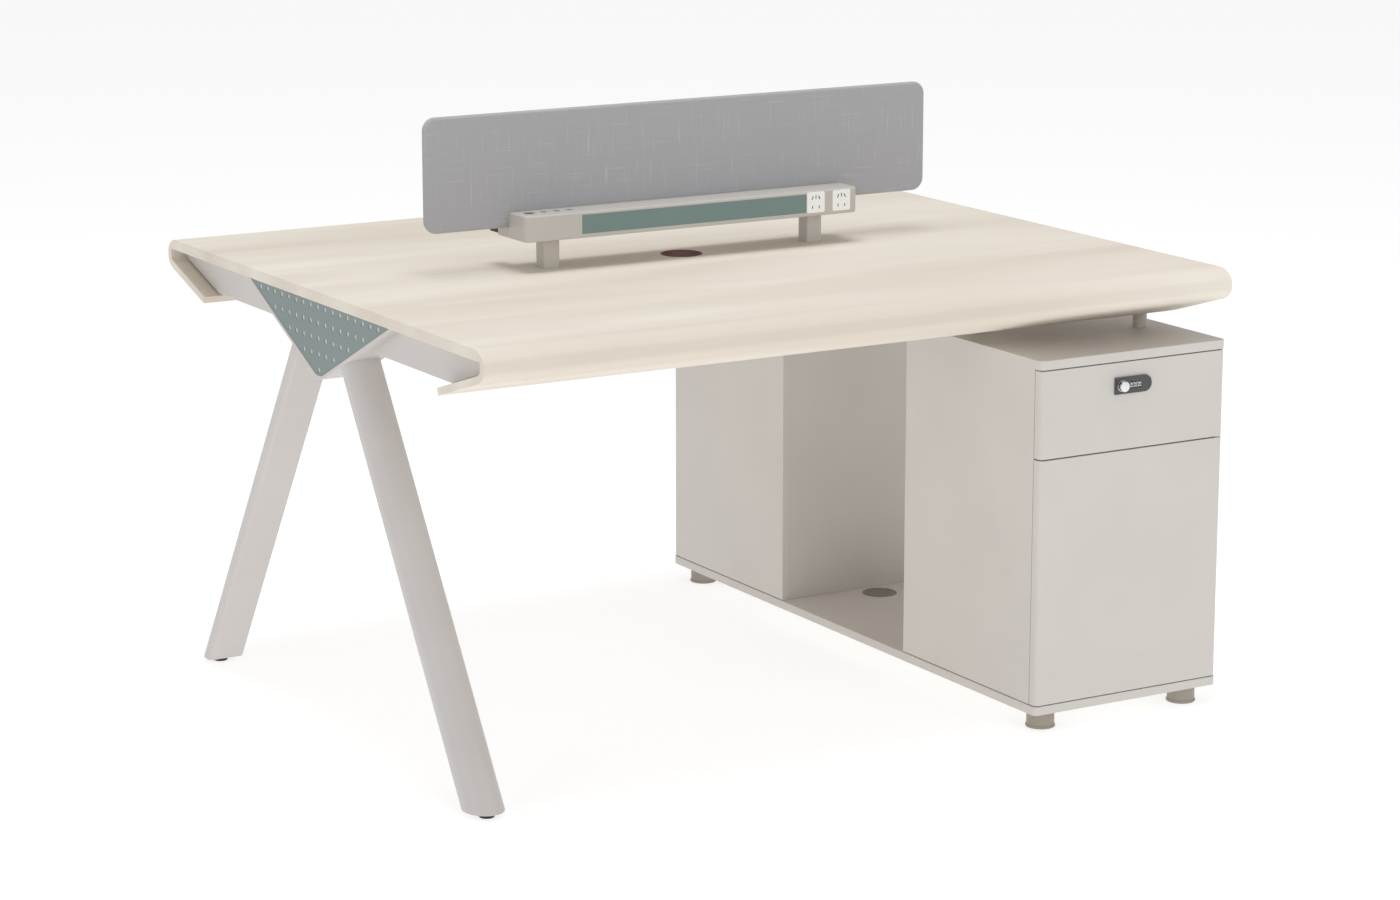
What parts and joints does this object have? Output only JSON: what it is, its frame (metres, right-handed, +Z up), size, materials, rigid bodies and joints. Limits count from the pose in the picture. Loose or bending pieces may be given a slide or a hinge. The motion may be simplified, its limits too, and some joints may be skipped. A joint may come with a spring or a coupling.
{
  "type": "bench desk",
  "caption": "Face-to-face bench desk with folded-edge top, splayed tube legs, lockable drawer and door cabinets, and a raised rail with sockets, pen holes and a fabric screen.",
  "frame": {"origin": "on the floor under the middle of the desktop", "axes": "+X along the desk towards the cabinets, -Y towards the front user who faces the locks shown, +Z up"},
  "size_m": [1.4, 1.216, 1.012],
  "materials": {
    "desktop_laminate": "satin",
    "brown_plastic": "matte",
    "frame_paint": "satin",
    "green_paint": "satin",
    "black_plastic": "matte",
    "post_metal": "satin",
    "zinc_steel": "satin",
    "anodised_rail": "satin",
    "green_inlay": "matte",
    "dark_plastic": "matte",
    "white_plastic": "gloss",
    "core_board": "matte",
    "screen_fabric": "matte",
    "cabinet_board": "satin",
    "grey_plastic": "matte",
    "foot_metal": "satin",
    "drawer_paint": "satin",
    "lock_metal": "satin",
    "knob_metal": "polished"
  },
  "bodies": {
    "desk": {"desktop": "desktop_laminate", "cable_port_liner": "brown_plastic", "end_beam": "frame_paint", "gusset_bracket": "frame_paint", "gusset_plate": "green_paint", "front_leg": "frame_paint", "rear_leg": "frame_paint", "leg_levellers": "black_plastic", "front_rail": "frame_paint", "rear_rail": "frame_paint", "cabinet_posts": "post_metal", "mounting_bolts": "zinc_steel", "mounting_screws": "zinc_steel", "tray_posts": "post_metal", "tray_body": "anodised_rail", "tray_end_caps": "anodised_rail", "tray_inlay": "green_inlay", "holder_cups": "dark_plastic", "left_socket": "white_plastic", "right_socket": "white_plastic", "power_inlet": "black_plastic", "screen_core": "core_board", "screen_cover": "screen_fabric", "screen_clamps": "frame_paint", "base_board": "cabinet_board", "base_grommet": "grey_plastic", "cabinet_feet": "foot_metal", "front_cabinet_sides": "cabinet_board", "rear_cabinet_sides": "cabinet_board", "cabinet_backs": "cabinet_board", "cabinet_tops": "cabinet_board", "inner_boards": "cabinet_board", "corner_blocks": "grey_plastic", "door_catches": "dark_plastic", "pivot_brackets": "zinc_steel", "runner_channels": "zinc_steel"},
    "front_drawer": {"front_drawer_front": "cabinet_board", "front_drawer_box": "drawer_paint", "front_drawer_runners": "zinc_steel", "front_lock_case": "lock_metal"},
    "front_sliders": {"front_runner_sliders": "zinc_steel"},
    "front_door_leaf": {"front_door": "cabinet_board", "front_door_hardware": "zinc_steel"},
    "front_lock": {"front_lock_knob": "knob_metal", "front_lock_cam": "zinc_steel"},
    "front_dial_1": {"front_lock_dial_1": "white_plastic"},
    "front_dial_2": {"front_lock_dial_2": "white_plastic"},
    "front_dial_3": {"front_lock_dial_3": "white_plastic"},
    "rear_drawer": {"rear_drawer_front": "cabinet_board", "rear_drawer_box": "drawer_paint", "rear_drawer_runners": "zinc_steel", "rear_lock_case": "lock_metal"},
    "rear_sliders": {"rear_runner_sliders": "zinc_steel"},
    "rear_door_leaf": {"rear_door": "cabinet_board", "rear_door_hardware": "zinc_steel"},
    "rear_lock": {"rear_lock_knob": "knob_metal", "rear_lock_cam": "zinc_steel"},
    "rear_dial_1": {"rear_lock_dial_1": "white_plastic"},
    "rear_dial_2": {"rear_lock_dial_2": "white_plastic"},
    "rear_dial_3": {"rear_lock_dial_3": "white_plastic"}
  },
  "joints": [
    {"name": "front_drawer_slide", "type": "slide", "parent": "desk", "child": "front_drawer", "axis": [0, -1, 0], "range_m": [0, 0.3]},
    {"name": "front_sliders_slide", "type": "slide", "parent": "desk", "child": "front_sliders", "axis": [0, -1, 0], "range_m": [0, 0.15]},
    {"name": "front_door_hinge", "type": "hinge", "parent": "desk", "child": "front_door_leaf", "pos_m": [0.686, -0.587, 0.2565], "axis": [0, 0, 1], "range_deg": [0, 105]},
    {"name": "front_lock_turn", "type": "hinge", "parent": "front_drawer", "child": "front_lock", "pos_m": [0.4785, -0.5985, 0.575], "axis": [0, -1, 0], "range_deg": [0, 90]},
    {"name": "front_dial_1_turn", "type": "hinge", "parent": "front_drawer", "child": "front_dial_1", "pos_m": [0.498, -0.591, 0.575], "axis": [1, 0, 0], "continuous": true},
    {"name": "front_dial_2_turn", "type": "hinge", "parent": "front_drawer", "child": "front_dial_2", "pos_m": [0.506, -0.591, 0.575], "axis": [1, 0, 0], "continuous": true},
    {"name": "front_dial_3_turn", "type": "hinge", "parent": "front_drawer", "child": "front_dial_3", "pos_m": [0.514, -0.591, 0.575], "axis": [1, 0, 0], "continuous": true},
    {"name": "rear_drawer_slide", "type": "slide", "parent": "desk", "child": "rear_drawer", "axis": [0, 1, 0], "range_m": [0, 0.3]},
    {"name": "rear_sliders_slide", "type": "slide", "parent": "desk", "child": "rear_sliders", "axis": [0, 1, 0], "range_m": [0, 0.15]},
    {"name": "rear_door_hinge", "type": "hinge", "parent": "desk", "child": "rear_door_leaf", "pos_m": [0.686, 0.587, 0.2565], "axis": [0, 0, -1], "range_deg": [0, 105]},
    {"name": "rear_lock_turn", "type": "hinge", "parent": "rear_drawer", "child": "rear_lock", "pos_m": [0.5345, 0.5985, 0.575], "axis": [0, 1, 0], "range_deg": [0, 90]},
    {"name": "rear_dial_1_turn", "type": "hinge", "parent": "rear_drawer", "child": "rear_dial_1", "pos_m": [0.515, 0.591, 0.575], "axis": [-1, 0, 0], "continuous": true},
    {"name": "rear_dial_2_turn", "type": "hinge", "parent": "rear_drawer", "child": "rear_dial_2", "pos_m": [0.507, 0.591, 0.575], "axis": [-1, 0, 0], "continuous": true},
    {"name": "rear_dial_3_turn", "type": "hinge", "parent": "rear_drawer", "child": "rear_dial_3", "pos_m": [0.499, 0.591, 0.575], "axis": [-1, 0, 0], "continuous": true}
  ],
  "couplings": [
    {"joint": "front_sliders_slide", "follows": "front_drawer_slide", "ratio": 0.5},
    {"joint": "rear_sliders_slide", "follows": "rear_drawer_slide", "ratio": 0.5}
  ]
}
